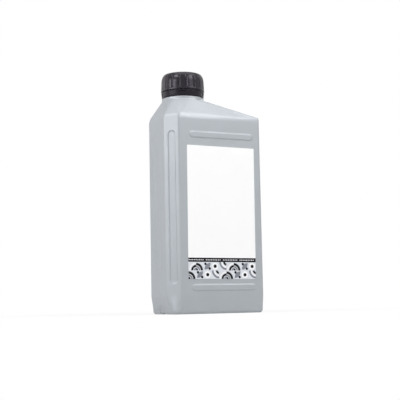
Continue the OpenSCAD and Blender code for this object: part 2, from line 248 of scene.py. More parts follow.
# Sizes of the label and its print
LABEL_W = 74.9
LABEL_Z0 = 33.8
LABEL_Z1 = 165.6
LABEL_X = 5.2
LABEL_Y = -29.638
LABEL_T = 0.16
LABEL_TILT = math.radians(0.45)
LABEL_LEAN = math.atan(WALL_LEAN)
LABEL_CORNER_R = 0.9
LABEL_CORNER_STEPS = 5
PRINT_T = 0.05
BAND_H = 4.1
STRIP_H = 16.6

# Angles in degrees above which an edge of a piece stays sharp
BOTTLE_SHARP = 60
CAP_SHARP = 50
RING_SHARP = 40
LABEL_SHARP = 40
PRINT_SHARP = 30


class Shell:
    """Collects grids of points in millimetres and makes one closed mesh of them."""

    def __init__(self):
        self.points = []
        self.faces = []
        self.count = 0

    def grid(self, rows):
        """Adds faces between closed rows of points."""
        rows = np.asarray(rows, float)
        high, wide = rows.shape[:2]
        index = np.arange(high * wide).reshape(high, wide) + self.count
        self.points.append(rows.reshape(-1, 3))
        self.count += high * wide
        ahead = np.roll(index, -1, axis=1)
        quads = np.stack([index[:-1], ahead[:-1], ahead[1:], index[1:]], axis=-1)
        self.faces += quads.reshape(-1, 4).tolist()

    def face(self, points):
        """Adds one face."""
        self.points.append(np.asarray(points, float).reshape(-1, 3))
        self.faces.append(list(range(self.count, self.count + len(points))))
        self.count += len(points)

    def build(self, name, sharp_degrees):
        """Merges the points that meet and makes the object."""
        points = np.concatenate(self.points)
        keys = np.round(points, MERGE_DIGITS)
        _, first, place = np.unique(keys, axis=0, return_index=True, return_inverse=True)
        place = place.reshape(-1)
        faces = []
        for face in self.faces:
            merged = [int(place[i]) for i in face]
            kept = [v for i, v in enumerate(merged) if v != merged[i - 1]]
            if len(set(kept)) > 2:
                faces.append(kept)
        mesh = bpy.data.meshes.new(name)
        mesh.from_pydata((points[first] * MM).tolist(), [], faces)
        mesh.validate()
        piece = bpy.data.objects.new(name, mesh)
        bpy.context.scene.collection.objects.link(piece)
        mesh.shade_smooth()
        mesh.set_sharp_from_angle(angle=math.radians(sharp_degrees))
        return piece


def marks(low, high, coarse, zones):
    """Positions from low to high at a coarse step, with finer steps in each zone (start, end, step)."""
    found = list(np.linspace(low, high, max(2, math.ceil((high - low) / coarse) + 1)))
    for start, end, step in zones:
        start, end = max(start, low), min(end, high)
        found = [m for m in found if m in (low, high) or not start - step / 2 < m < end + step / 2]
        found += list(np.linspace(start, end, max(2, math.ceil((end - start) / step) + 1)))
    return sorted(set(np.round(found, MARK_DIGITS).tolist()))


def ramp(value, low, high):
    """0 below low, 1 above high and a soft slope between."""
    t = np.clip((value - low) / (high - low), 0, 1)
    return t * t * (3 - 2 * t)


def arc_points(centre_a, centre_b, radius, start, end, steps):
    """Pairs of coordinates along an arc, with angles in degrees."""
    angles = [math.radians(start + (end - start) * i / steps) for i in range(steps + 1)]
    return [(centre_a + radius * math.cos(a), centre_b + radius * math.sin(a)) for a in angles]


def plan(inset):
    """The six corners of the body in plan, drawn in by the inset."""
    x, y = HALF_W - inset, HALF_D - inset
    cut = CORNER_CUT - inset * (2 - math.sqrt(2))
    return np.array([[-x, cut - y], [cut - x, -y], [x, -y], [x, y], [cut - x, y], [-x, y - cut]])


# Direction of the wall's normal at the start and end of each corner of the plan
CORNER_TURNS = [(180, 225), (225, 270), (270, 360), (0, 90), (90, 135), (135, 180)]
SIDE_OF_FLAT = ["corner", "face", "far_end", "face", "corner", "near_end"]


def side_marks(k, corners):
    """Shares of flat k at which extra columns stand, dense where the wall has detail."""
    a, b = corners[k], corners[(k + 1) % 6]
    length = float(np.linalg.norm(b - a))
    middle = length / 2
    side = SIDE_OF_FLAT[k]
    if side == "corner":
        low, high = middle - CORNER_BAR_HALF_W, middle + CORNER_BAR_HALF_W
        zones = [(low - BAR_MARGIN, low + BAR_EDGE + BAR_MARGIN, BAR_EDGE_STEP),
                 (high - BAR_EDGE - BAR_MARGIN, high + BAR_MARGIN, BAR_EDGE_STEP),
                 (middle - BAR_FLOOR_REACH, middle + BAR_FLOOR_REACH, BAR_FLOOR_STEP)]
        found = marks(0, length, CORNER_STEP, zones)
    elif side == "face":
        reach = FACE_BAR_RUN + BAR_HALF_H
        ends = [abs(FACE_BAR_X - reach - a[0]), abs(FACE_BAR_X + reach - a[0])]
        inward = np.sign(ends[1] - ends[0])
        zones = []
        for end, way in zip(ends, (inward, -inward)):
            near, far = sorted((end - way * BAR_END_BEFORE, end + way * (BAR_HALF_H + BAR_END_AFTER)))
            zones.append((near, far, FINE_STEP))
        found = marks(0, length, FACE_STEP, zones)
    elif side == "near_end":
        found = marks(0, length, NEAR_END_STEP, [(middle - RIB_REACH, middle + RIB_REACH, FINE_STEP)])
    else:
        low, high = middle - NOTCH_HALF_W, middle + NOTCH_HALF_W
        zones = [(low - NOTCH_OUTSIDE, low + NOTCH_INSIDE, FINE_STEP),
                 (high - NOTCH_INSIDE, high + NOTCH_OUTSIDE, FINE_STEP),
                 (middle - NOTCH_FLOOR_REACH, middle + NOTCH_FLOOR_REACH, NOTCH_FLOOR_STEP),
                 (middle - SEAM_REACH, middle + SEAM_REACH, SEAM_STEP)]
        found = marks(0, length, FACE_STEP, zones)
    return [m / length for m in found[1:-1]]


def column_plan(detailed):
    """One entry for each column round the body: corner, share of the flat after it, and normal."""
    corners = plan(EDGE_R)
    entries = []
    step = 360 / STEPS_PER_TURN
    for k, (start, end) in enumerate(CORNER_TURNS):
        for i in range(round((end - start) / step) + 1):
            entries.append((k, 0.0, start + i * step))
        if detailed:
            entries += [(k, share, end % 360) for share in side_marks(k, corners)]
    return entries


class Columns:
    """The columns of the body, with their places in plan at any inset."""

    def __init__(self, detailed):
        entries = column_plan(detailed)
        self.k = np.array([e[0] for e in entries])
        self.share = np.array([e[1] for e in entries])
        self.turn = np.radians([e[2] for e in entries])
        self.normal = np.stack([np.cos(self.turn), np.sin(self.turn)], axis=-1)
        base_turn, self.base_flat = self.match_base()
        self.base_normal = np.stack([np.cos(base_turn), np.sin(base_turn)], axis=-1)

    def wall(self, inset):
        """Places on the plan drawn in by the inset."""
        corners = plan(inset)
        here, ahead = corners[self.k], corners[(self.k + 1) % 6]
        return here + (ahead - here) * self.share[:, None]

    def match_base(self):
        """Normals at the base, where each pair of neck-side corners is one round corner."""
        outline = self.wall(EDGE_R) + EDGE_R * self.normal
        turn = self.turn.copy()
        flat = np.zeros(len(turn), bool)
        for first, second, start, end in ((0, 1, 180, 270), (4, 5, 90, 180)):
            group = np.flatnonzero((self.k == first) | ((self.k == second) & (self.share == 0)))
            steps = np.linalg.norm(np.diff(outline[group], axis=0), axis=1)
            way = np.concatenate([[0], np.cumsum(steps)]) / steps.sum()
            turn[group] = np.radians(start + (end - start) * way)
            flat[group] = True
        return turn, flat

    def base(self, inset):
        """Centres of the edge's rounding in plan, for the outline of the base drawn in by the inset."""
        x = HALF_W - NEAR_INSET - inset - EDGE_R
        far_x = HALF_W - SIDE_INSET - inset - EDGE_R
        y = HALF_D - SIDE_INSET - inset - EDGE_R
        r = max(BASE_CORNER_R - inset - EDGE_R, 0)
        far = np.array([[0, 0], [0, 0], [far_x, -y], [far_x, y], [0, 0], [0, 0]], float)
        centre = far[self.k].copy()
        arc = r * self.base_normal
        lower = self.base_flat & (self.k < 2)
        upper = self.base_flat & (self.k > 3)
        centre[lower] = np.array([r - x, r - y]) + arc[lower]
        centre[upper] = np.array([r - x, y - r]) + arc[upper]
        ends = {1: ([r - x, -y], [far_x, -y]), 2: ([far_x, -y], [far_x, y]),
                3: ([far_x, y], [r - x, y]), 5: ([-x, y - r], [-x, r - y])}
        for k, (a, b) in ends.items():
            on_flat = (self.k == k) & (self.share > 0)
            a, b = np.array(a), np.array(b)
            centre[on_flat] = a + (b - a) * self.share[on_flat][:, None]
        return centre


def shoulder_slope(turn, circle_r, skin):
    """Slope of the shoulder below the neck, looking out from the neck in that direction."""
    r = EDGE_R - skin
    slopes = []
    for corner in plan(EDGE_R + DRAFT):
        reach = (corner[0] - NECK_X) * np.cos(turn) + corner[1] * np.sin(turn) - circle_r
        rise = NECK_Z - skin - WALL_TOP_Z
        slopes.append(np.arctan2(rise, reach) - np.arcsin(r / np.hypot(reach, rise)))
    return np.min(slopes, axis=0)


def plateau(distance, half=BAR_HALF_H):
    """Height share of a bar at that distance from its middle line."""
    return 1 - ramp(distance, half - BAR_EDGE, half)


def to_segment(along, across, half_run):
    """Distance from a line of that half length."""
    return np.hypot(np.maximum(np.abs(along) - half_run, 0), across)


def wall_detail(x, y, z, side):
    """How far the wall stands out at a point, by the bars, ribs, notch and seam on that side."""
    out = np.zeros_like(z)
    if side == "face":
        for bar_z in FACE_BAR_ZS:
            out += BAR_RISE * plateau(to_segment(x - FACE_BAR_X, z - bar_z, FACE_BAR_RUN))
    if side == "corner":
        half_cut = CORNER_CUT / 2
        across = ((x + HALF_W - half_cut) + (np.abs(y) - HALF_D + half_cut)) / math.sqrt(2)
        middle_z = (CORNER_BAR_Z0 + CORNER_BAR_Z1) / 2
        run = (CORNER_BAR_Z1 - CORNER_BAR_Z0) / 2 - CORNER_BAR_HALF_W
        out -= BAR_RISE * plateau(to_segment(z - middle_z, across, run), CORNER_BAR_HALF_W)
    if side == "near_end":
        middle_z = (RIB_Z0 + RIB_Z1) / 2
        run = (RIB_Z1 - RIB_Z0) / 2 - RIB_HALF_W
        for rib_y in (-RIB_Y, RIB_Y):
            share = to_segment(z - middle_z, y - rib_y, run) / RIB_HALF_W
            out += RIB_RISE * np.clip(1 - share ** 2, 0, 1) ** RIB_FULLNESS
    if side in ("near_end", "far_end"):
        centre_z = NOTCH_TOP_Z - NOTCH_HALF_W
        distance = np.hypot(y, np.maximum(z - centre_z, 0))
        out -= NOTCH_DEPTH * (1 - ramp(distance, NOTCH_HALF_W - NOTCH_EDGE, NOTCH_HALF_W))
        seam = np.clip(1 - (y / SEAM_HALF_W) ** 2, 0, 1)
        out += SEAM_RISE * seam * ramp(z, NOTCH_TOP_Z, NOTCH_TOP_Z + SEAM_FADE)
    return out


def relief_height(y):
    """Height of the relief across the rim, at a distance from the parting plane."""
    radius = (RELIEF_HALF_W ** 2 + RELIEF_H ** 2) / (2 * RELIEF_H)
    height = RELIEF_H - radius + np.sqrt(np.maximum(radius ** 2 - y ** 2, 0))
    return np.where(np.abs(y) < RELIEF_HALF_W, height, 0)


def level(flat, z):
    """Points at one height, or at a height for each."""
    return np.column_stack([flat, np.broadcast_to(z, len(flat))])


def ring_of(turn, radius, z):
    """Points round the neck's axis."""
    radius = np.broadcast_to(radius, turn.shape)
    x = NECK_X + radius * np.cos(turn)
    return np.column_stack([x, radius * np.sin(turn), np.broadcast_to(z, turn.shape)])


def fillet_rows(turn):
    """The hollow between the shoulder and the collar."""
    slope = shoulder_slope(turn, COLLAR_R, 0)
    run = FILLET_R / np.tan((math.pi / 2 + slope) / 2)
    rows = []
    for i in range(ROUND_STEPS + 1):
        a = 1.5 * math.pi - slope - (math.pi / 2 - slope) * i / ROUND_STEPS
        radius = COLLAR_R + FILLET_R + FILLET_R * np.cos(a)
        rows.append(ring_of(turn, radius, NECK_Z + run + FILLET_R * np.sin(a)))
    return rows


def crease_rows(columns):
    """The soft crease at the top of the walls and the slope of the shoulder above it."""
    slope = shoulder_slope(columns.turn, COLLAR_R, 0)
    wall_top = columns.wall(EDGE_R + DRAFT) + EDGE_R * columns.normal
    corner = level(wall_top, WALL_TOP_Z + EDGE_R * np.tan((math.pi / 2 - slope) / 2))
    end = fillet_rows(columns.turn)[0]
    ahead = end - corner
    ahead /= np.linalg.norm(ahead, axis=1)[:, None]
    far_share = ramp(np.cos(columns.turn), 0, FAR_END_COSINE)
    ease = CREASE_EASE + (FAR_CREASE_EASE - CREASE_EASE) * far_share
    start = corner - ease[:, None] * np.array([0, 0, 1])
    finish = corner + ease[:, None] * ahead
    rows = []
    for s in np.linspace(0, 1, CREASE_STEPS + 1):
        rows.append((1 - s) ** 2 * start + 2 * s * (1 - s) * corner + s ** 2 * finish)
    rows += [finish + (end - finish) * s for s in np.linspace(0, 1, SLOPE_STEPS + 1)[1:]]
    return np.array(rows)


def outer_body(columns):
    """Rows of the outside of the body, from the middle of the base up to the foot of the neck's hollow."""
    rows = []
    for inset, z in UNDERSIDE_RINGS:
        rows.append(level(columns.base(inset) + EDGE_R * columns.base_normal, z))
    base = columns.base(0)
    for i in range(ROUND_STEPS + 1):
        a = math.pi / 2 * i / ROUND_STEPS
        rows.append(level(base + EDGE_R * math.sin(a) * columns.base_normal, EDGE_R * (1 - math.cos(a))))
    outline_base = base + EDGE_R * columns.base_normal
    outline_wall = columns.wall(EDGE_R) + EDGE_R * columns.normal
    taper_zs = marks(EDGE_R, TAPER_Z, TAPER_STEP, [(EDGE_R, NOTCH_TOP_Z + NOTCH_ABOVE, NOTCH_ROW_STEP)])
    for z in taper_zs[1:]:
        t = 1 - (1 - (z - EDGE_R) / (TAPER_Z - EDGE_R)) ** TAPER_EASE
        rows.append(level(outline_base + (outline_wall - outline_base) * t, z))
    for z in marks(TAPER_Z, WALL_TOP_Z - CREASE_EASE, WALL_STEP, WALL_ROW_ZONES)[1:]:
        centre = columns.wall(EDGE_R + WALL_LEAN * (z - TAPER_Z))
        rows.append(level(centre + EDGE_R * columns.normal, z))
    rows = np.array(rows)
    for k, side in enumerate(SIDE_OF_FLAT):
        inside = columns.k == k
        sub = rows[:, inside]
        out = wall_detail(sub[..., 0], sub[..., 1], sub[..., 2], side)
        rows[:, inside, :2] += out[..., None] * columns.normal[inside]
    rows[..., 0] = np.minimum(rows[..., 0], FAR_X)
    low = rows[..., 2] < RELIEF_H
    rows[..., 2] = np.where(low, np.maximum(rows[..., 2], relief_height(rows[..., 1])), rows[..., 2])
    return np.concatenate([rows, crease_rows(columns)])


def ridge_share(turn, z, start_z, turns):
    """Share of a thread ridge's full height at an angle and height."""
    best = np.zeros(turn.shape)
    for lap in range(math.ceil(turns) + 1):
        t = turn / (2 * math.pi) + lap
        middle = start_z + PITCH * t
        side = (RIDGE_HALF_W - np.abs(z - middle)) / (RIDGE_HALF_W - RIDGE_CREST_HALF_W)
        fade = np.clip(np.minimum(t, turns - t) / (turns * RIDGE_FADE), 0, 1)
        best = np.maximum(best, ramp(side, 0, 1) * fade)
    return best


def neck_rows(turn):
    """The neck from the collar's foot, over the rim, down through the bore to the throat."""
    rows = fillet_rows(turn)
    collar_z = COLLAR_TOP - COLLAR_EDGE
    half_round = RIM_ROUND / 2
    profile = [(COLLAR_R, collar_z - COLLAR_SIDE)]
    profile += arc_points(COLLAR_R - COLLAR_EDGE, collar_z, COLLAR_EDGE, 0, 90, COLLAR_STEPS)
    profile += BEAD_PROFILE
    thread_zs = np.arange(BEAD_HEAD_Z + 1.2, RIM_Z - RIM_ROUND - 0.05, NECK_ROW_STEP)
    profile += [(ROOT_R, z) for z in thread_zs]
    profile += arc_points(ROOT_R - RIM_ROUND, RIM_Z - RIM_ROUND, RIM_ROUND, 0, 90, RIM_STEPS)
    profile += arc_points(BORE_R + half_round, RIM_Z - half_round, half_round, 90, 180, RIM_INNER_STEPS)
    profile += BORE_PROFILE
    for radius, z in profile:
        on_root = abs(radius - ROOT_R) < SAME_R
        out = ridge_share(turn, z, NECK_THREAD_Z, NECK_TURNS) if on_root else 0
        rows.append(ring_of(turn, radius + out * (CREST_R - ROOT_R), z))
    return rows


def inner_body(columns):
    """Rows of the inside of the body, from the throat down to the floor."""
    r = EDGE_R - WALL
    slope = shoulder_slope(columns.turn, THROAT_R, WALL)
    crease = columns.wall(EDGE_R + DRAFT)
    start = ring_of(columns.turn, THROAT_R, THROAT_Z)
    arc = []
    for i in range(INNER_ROUND_STEPS + 1):
        a = (math.pi / 2 - slope) * (1 - i / INNER_ROUND_STEPS)
        arc.append(level(crease + r * np.cos(a)[:, None] * columns.normal, WALL_TOP_Z + r * np.sin(a)))
    rows = [start + (arc[0] - start) * t for t in np.linspace(0, 1, INNER_ROUND_STEPS + 1)]
    rows += arc[1:]
    rows += [level(columns.wall(EDGE_R) + r * columns.normal, z) for z in INNER_WALL_ZS]
    base = columns.base(0)
    floor_z = PUSH_UP + WALL
    for i in range(INNER_ROUND_STEPS + 1):
        a = math.pi / 2 * i / INNER_ROUND_STEPS
        flat = base + r * math.cos(a) * columns.base_normal
        rows.append(level(flat, floor_z + r * (1 - math.sin(a))))
    rows.append(level(columns.base(FOOT_W) + EDGE_R * columns.base_normal, floor_z))
    return rows


def make_bottle():
    """The blown bottle: outside, neck and inside as one closed mesh."""
    shell = Shell()
    rows = outer_body(Columns(True))
    shell.face(rows[0][::-1])
    shell.grid(rows)
    turn = np.arange(STEPS_PER_TURN) * 2 * math.pi / STEPS_PER_TURN
    shell.grid(neck_rows(turn))
    rows = inner_body(Columns(False))
    shell.grid(rows)
    shell.face(rows[-1])
    return shell.build("bottle_shell", BOTTLE_SHARP)


def revolve(shell, profile, columns, shape):
    """Adds a profile of (radius, height) turned round the neck's axis; shape changes the radii."""
    turn = np.arange(columns) * 2 * math.pi / columns
    rows = []
    for i, (radius, z) in enumerate(profile):
        r = shape(i, turn, np.full(columns, float(radius)), z)
        rows.append(ring_of(turn, r, z))
    shell.grid(rows)
    return rows


def turn_from_nearest(turn, first_degrees, count):
    """Angle from the nearest of that many marks, evenly spaced from the first."""
    pitch = 2 * math.pi / count
    return (turn - math.radians(first_degrees) + pitch / 2) % pitch - pitch / 2


def soft_min(a, b, width):
    """The lesser of two values, with a round of about that width where they cross."""
    gap = np.clip((width - np.abs(a - b)) / width, 0, 1)
    return np.minimum(a, b) - width * gap ** 2 / 4


def make_cap():
    """The screw cap, fluted outside and threaded inside."""
    top_r = CAP_R - CAP_DRAFT
    shoulder_z = CAP_TOP_Z - CAP_ROUND_H
    skirt_h = shoulder_z - CAP_LIP_TOP
    skirt_lean = math.atan(CAP_DRAFT / skirt_h)
    outside = [(top_r - CAP_ROUND_W, CAP_TOP_Z)]
    for a in np.radians(np.linspace(CAP_ROUND_DEGREES, 0, CAP_ROUND_POINTS)):
        outside.append((top_r - CAP_ROUND_W * (1 - math.cos(a)), shoulder_z + CAP_ROUND_H * math.sin(a)))
    outside += [(CAP_R - CAP_DRAFT * (z - CAP_LIP_TOP) / skirt_h, z)
                for z in np.linspace(shoulder_z, CAP_LIP_TOP, CAP_SKIRT_POINTS)[1:]]
    outside += [(CAP_R, z) for z in CAP_LIP_ZS]
    outside += arc_points(CAP_R - CAP_LIP_ROUND, CAP_Z + CAP_LIP_ROUND, CAP_LIP_ROUND, 0, -90, CAP_LIP_STEPS)
    inside = CAP_MOUTH_PROFILE + [(CAP_IN_R, z) for z in CAP_THREAD_ZS] + CAP_SEAT_PROFILE
    profile = (outside + inside)[::-1]
    outer_from = len(inside)

    def shape(i, turn, r, z):
        if i < outer_from:
            if abs(r[0] - CAP_IN_R) >= SAME_R:
                return r
            return r - ridge_share(turn, z, CAP_THREAD_Z, CAP_TURNS) * (CAP_IN_R - CAP_CREST_R)
        if z < LIP_FLAT_TOP:
            return r
        off = turn_from_nearest(turn, GROOVE_TURN, GROOVES)
        centre = CAP_R + GROOVE_R - GROOVE_DEPTH - (z - CAP_LIP_TOP) * math.tan(skirt_lean)
        inside_root = GROOVE_R ** 2 - (centre * np.sin(off)) ** 2
        near = centre * np.cos(off) - np.sqrt(np.maximum(inside_root, 0))
        cut = soft_min(r, np.where(inside_root > 0, near, centre), GROOVE_ROUND)
        return r + (cut - r) * ramp(z, *GROOVE_FADE)

    shell = Shell()
    rows = revolve(shell, profile, GROOVES * GROOVE_COLUMNS, shape)
    shell.face(rows[0][::-1])
    shell.face(rows[-1])
    return shell.build("cap_shell", CAP_SHARP)


def make_ring():
    """The tamper ring, with its windows and broken bridges."""
    middle_z = RING_Z + RING_H / 2
    foot_r = RING_R - RING_DRAFT
    lean = RING_DRAFT / RING_H
    zone = (middle_z - WINDOW_HALF_H - WINDOW_REACH, middle_z + WINDOW_HALF_H + WINDOW_REACH, WINDOW_ROW_STEP)
    outside = arc_points(foot_r - RING_ROUND, RING_Z + RING_ROUND, RING_ROUND, -90, 0, RING_ROUND_STEPS)
    outside += [(foot_r + lean * (z - RING_Z), z)
                for z in marks(RING_Z + RING_ROW_STEP, RING_TOP - RING_ROW_STEP, RING_ROW_STEP, [zone])]
    outside += arc_points(RING_R - RING_ROUND, RING_TOP - RING_ROUND, RING_ROUND, 0, 90, RING_ROUND_STEPS)
    profile = RING_INSIDE + outside + [(RING_IN_R, RING_TOP)]
    first_flat = len(RING_INSIDE) + RING_ROUND_STEPS + 1
    last_flat = len(profile) - RING_ROUND_STEPS - 3

    def shape(i, turn, r, z):
        if not first_flat <= i <= last_flat:
            return r
        off = np.degrees(turn_from_nearest(turn, WINDOW_TURN, RING_WINDOWS))
        share = (z - middle_z + WINDOW_HALF_H) / (2 * WINDOW_HALF_H)
        widening = (1 - WINDOW_FOOT_SHARE) * min(max(share, 0), 1)
        half = WINDOW_HALF_ANGLE * (WINDOW_FOOT_SHARE + widening)
        beside = ramp(half - np.abs(off), 0, math.degrees(WINDOW_EDGE / RING_R))
        above = ramp(WINDOW_HALF_H - abs(z - middle_z), 0, WINDOW_EDGE)
        return r - WINDOW_DEPTH * beside * above

    shell = Shell()
    revolve(shell, profile, RING_COLUMNS, shape)
    mid_r = (RING_IN_R + RING_R) / 2
    for i in range(BRIDGES):
        a = math.radians(360 * i / BRIDGES)
        corners = []
        for radial, side in ((-1, -1), (1, -1), (1, 1), (-1, 1)):
            r = mid_r + radial * BRIDGE_W / 2
            s = side * BRIDGE_W / 2
            corners.append((NECK_X + r * math.cos(a) - s * math.sin(a), r * math.sin(a) + s * math.cos(a)))
        low = [(x, y, RING_TOP - BRIDGE_LAP) for x, y in corners]
        high = [(x, y, RING_TOP + BRIDGE_H) for x, y in corners]
        shell.face(low[::-1])
        shell.grid([low, high])
        shell.face(high)
    return shell.build("tamper_ring_shell", RING_SHARP)


def on_label(u, v, lift):
    """A point of the label's drawing, with its origin at the label's middle, in millimetres."""
    y = v * math.sin(LABEL_LEAN) - lift * math.cos(LABEL_LEAN)
    z = v * math.cos(LABEL_LEAN) + lift * math.sin(LABEL_LEAN)
    turned_x = u * math.cos(LABEL_TILT) + z * math.sin(LABEL_TILT)
    turned_z = z * math.cos(LABEL_TILT) - u * math.sin(LABEL_TILT)
    return (LABEL_X + turned_x, LABEL_Y + y, (LABEL_Z0 + LABEL_Z1) / 2 + turned_z)


def ribbon(shell, left, right, lift, thickness):
    """A thin solid between two lines of as many points, left on the left looking along them."""
    loops = []
    for (lu, lv), (ru, rv) in zip(left, right):
        loops.append([on_label(lu, lv, lift), on_label(lu, lv, lift + thickness),
                      on_label(ru, rv, lift + thickness), on_label(ru, rv, lift)])
    shell.face(loops[0])
    shell.grid(loops)
    shell.face(loops[-1][::-1])


def make_label():
    """The sheet, with small round corners."""
    r, steps = LABEL_CORNER_R, LABEL_CORNER_STEPS
    u, v = LABEL_W / 2 - r, (LABEL_Z1 - LABEL_Z0) / 2 - r
    left = arc_points(-u, -v, r, 270, 180, steps) + arc_points(-u, v, r, 180, 90, steps)
    right = arc_points(u, -v, r, -90, 0, steps) + arc_points(u, v, r, 0, 90, steps)
    shell = Shell()
    ribbon(shell, left, right, 0, LABEL_T)
    return shell.build("label_sheet", LABEL_SHARP)


bottle = make_bottle()
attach(bottle, "bottle")
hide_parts("bottle")

cap = make_cap()
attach(cap, "cap")
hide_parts("cap")

ring = make_ring()
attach(ring, "bottle")
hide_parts("tamper_ring")

label = make_label()
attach(label, "bottle")
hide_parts("front_label")


# The print: a dark band with lozenges, and a pale field with arcs, leaves and dots in tiles
TILE = STRIP_H / 2
TILE_ROWS = 2
TILE_COLUMNS = 9
TILE_W = LABEL_W / TILE_COLUMNS
FIELD_LIFT = LABEL_T
MOTIF_LIFT = LABEL_T + PRINT_T
LOZENGE_LIFT = FIELD_LIFT + 0.8 * PRINT_T
DOT_LIFT = LABEL_T + 1.8 * PRINT_T
LABEL_LEFT = -LABEL_W / 2
LABEL_FOOT = -(LABEL_Z1 - LABEL_Z0) / 2

# Places along the band, of which the last of each group stays empty, and a lozenge's size and turn
BAND_PLACES = 40
BAND_GROUP = 10
LOZENGE = (1.35, 1.0, 35)

# Kinds of tile with quarter rings: the tile's corner, then inner and outer radius and ink of each ring
RING_TILES = {
    0: (0, ((0, 2.2, "black"), (2.9, 4.4, "grey"), (5.0, 7.4, "black"))),
    1: (2, ((1.4, 3.4, "black"), (4.2, 5.4, "white"), (6.0, 7.8, "grey"))),
    3: (1, ((0.8, 2.6, "grey"), (3.3, 5.4, "black"), (6.1, 7.4, "white"))),
}
TILE_KINDS = 5
ARC_STEPS = 14
DISC_STEPS = 12
LEAF_STEPS = 12

# The tile with a leaf between two dots, and the tile with a dot on a disc
LEAF_KIND = 2
LEAF = (9.4, 4.4, 45)
LEAF_DOT_OFFSET = 2.3
LEAF_DOT_R = 1.3
DISC_R = 3.5
DISC_DOT_R = 1.7


def rectangle(shell, v0, v1):
    """A field of print over the label's whole width."""
    left = [(LABEL_LEFT, v0), (LABEL_LEFT, v1)]
    right = [(-LABEL_LEFT, v0), (-LABEL_LEFT, v1)]
    ribbon(shell, left, right, FIELD_LIFT, PRINT_T)


def corner_arc(shell, tile, corner, r0, r1):
    """A quarter ring with its centre in one corner of a tile."""
    u = LABEL_LEFT + tile[0] * TILE_W + TILE_W * (corner in (1, 2))
    v = LABEL_FOOT + tile[1] * TILE + TILE * (corner in (2, 3))
    start = 90 * corner
    outer = arc_points(u, v, r1, start, start + 90, ARC_STEPS)
    inner = arc_points(u, v, r0, start, start + 90, ARC_STEPS)
    ribbon(shell, inner, outer, MOTIF_LIFT, PRINT_T)


def disc(shell, u, v, r, lift):
    """A round dot."""
    upper = arc_points(u, v, r, 180, 0, DISC_STEPS)
    lower = arc_points(u, v, r, 180, 360, DISC_STEPS)
    ribbon(shell, upper, lower, lift, PRINT_T)


def leaf(shell, u, v, length, width, turn, lift):
    """A pointed oval."""
    left, right = [], []
    cos_turn, sin_turn = math.cos(math.radians(turn)), math.sin(math.radians(turn))
    for i in range(LEAF_STEPS + 1):
        s = i / LEAF_STEPS * 2 - 1
        along, across = s * length / 2, (1 - s * s) * width / 2
        left.append((u + along * cos_turn - across * sin_turn, v + along * sin_turn + across * cos_turn))
        right.append((u + along * cos_turn + across * sin_turn, v + along * sin_turn - across * cos_turn))
    ribbon(shell, left, right, lift, PRINT_T)


def make_print():
    """The print in four inks: field, black, grey and white."""
    inks = {name: Shell() for name in ("field", "black", "grey", "white")}
    rectangle(inks["field"], LABEL_FOOT, LABEL_FOOT + STRIP_H)
    rectangle(inks["black"], LABEL_FOOT + STRIP_H, LABEL_FOOT + STRIP_H + BAND_H)
    band_v = LABEL_FOOT + STRIP_H + BAND_H / 2
    for i in range(BAND_PLACES):
        u = LABEL_LEFT + LABEL_W * (i + 0.5) / BAND_PLACES
        if i % BAND_GROUP != BAND_GROUP - 1:
            leaf(inks["white"], u, band_v, *LOZENGE, LOZENGE_LIFT)
    for i in range(TILE_COLUMNS):
        for j in range(TILE_ROWS):
            kind = (i * 2 + j * 3) % TILE_KINDS
            u = LABEL_LEFT + (i + 0.5) * TILE_W
            v = LABEL_FOOT + (j + 0.5) * TILE
            if kind in RING_TILES:
                corner, rings = RING_TILES[kind]
                for r0, r1, ink_name in rings:
                    corner_arc(inks[ink_name], (i, j), corner, r0, r1)
            elif kind == LEAF_KIND:
                leaf(inks["grey"], u, v, *LEAF, MOTIF_LIFT)
                for way in (1, -1):
                    offset = way * LEAF_DOT_OFFSET
                    disc(inks["black"], u - offset, v + offset, LEAF_DOT_R, MOTIF_LIFT)
            else:
                disc(inks["white"], u, v, DISC_R, MOTIF_LIFT)
                disc(inks["black"], u, v, DISC_DOT_R, DOT_LIFT)
    return [shell.build("print_" + name, PRINT_SHARP) for name, shell in inks.items()]


print_field, print_black, print_grey, print_white = make_print()
for piece, node, slot_name in ((print_field, "label_strip", "label_pale_grey"),
                               (print_black, "label_pattern_black", "label_black"),
                               (print_grey, "label_pattern_grey", "label_mid_grey"),
                               (print_white, None, "label_white")):
    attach(piece, "bottle")
    if node:
        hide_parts(node)


# Noise textures, as scale and detail, and how they are weighed and spread
CLOUD_NOISE = (34, 3)
GLOSS_NOISE = (60, 4)
WAVE_NOISE = (46, 2)
WAVE_STRETCH = (1, 1, 0.18)
GRAIN_DETAIL = 3
SPECK_SCALE_SHARE = 0.7
SPECK_DETAIL = 2
CLOUD_WEIGHT = 0.6
SPECK_WEIGHT = 0.4
NOISE_LOW = 0.3
NOISE_HIGH = 0.7


def noise(nodes, links, coordinates, scale, detail, stretch=None):
    """A noise texture in the object's own coordinates, in metres, and its output."""
    texture = nodes.new("ShaderNodeTexNoise")
    texture.inputs["Scale"].default_value = scale
    texture.inputs["Detail"].default_value = detail
    source = coordinates.outputs["Object"]
    if stretch:
        mapping = nodes.new("ShaderNodeMapping")
        mapping.inputs["Scale"].default_value = stretch
        links.new(source, mapping.inputs["Vector"])
        source = mapping.outputs["Vector"]
    links.new(source, texture.inputs["Vector"])
    return texture.outputs["Fac"]


def spread_of(nodes, links, source, low, high):
    """Maps a noise output to a range."""
    node = nodes.new("ShaderNodeMapRange")
    node.inputs["From Min"].default_value = NOISE_LOW
    node.inputs["From Max"].default_value = NOISE_HIGH
    node.inputs["To Min"].default_value = low
    node.inputs["To Max"].default_value = high
    links.new(source, node.inputs["Value"])
    return node.outputs["Result"]


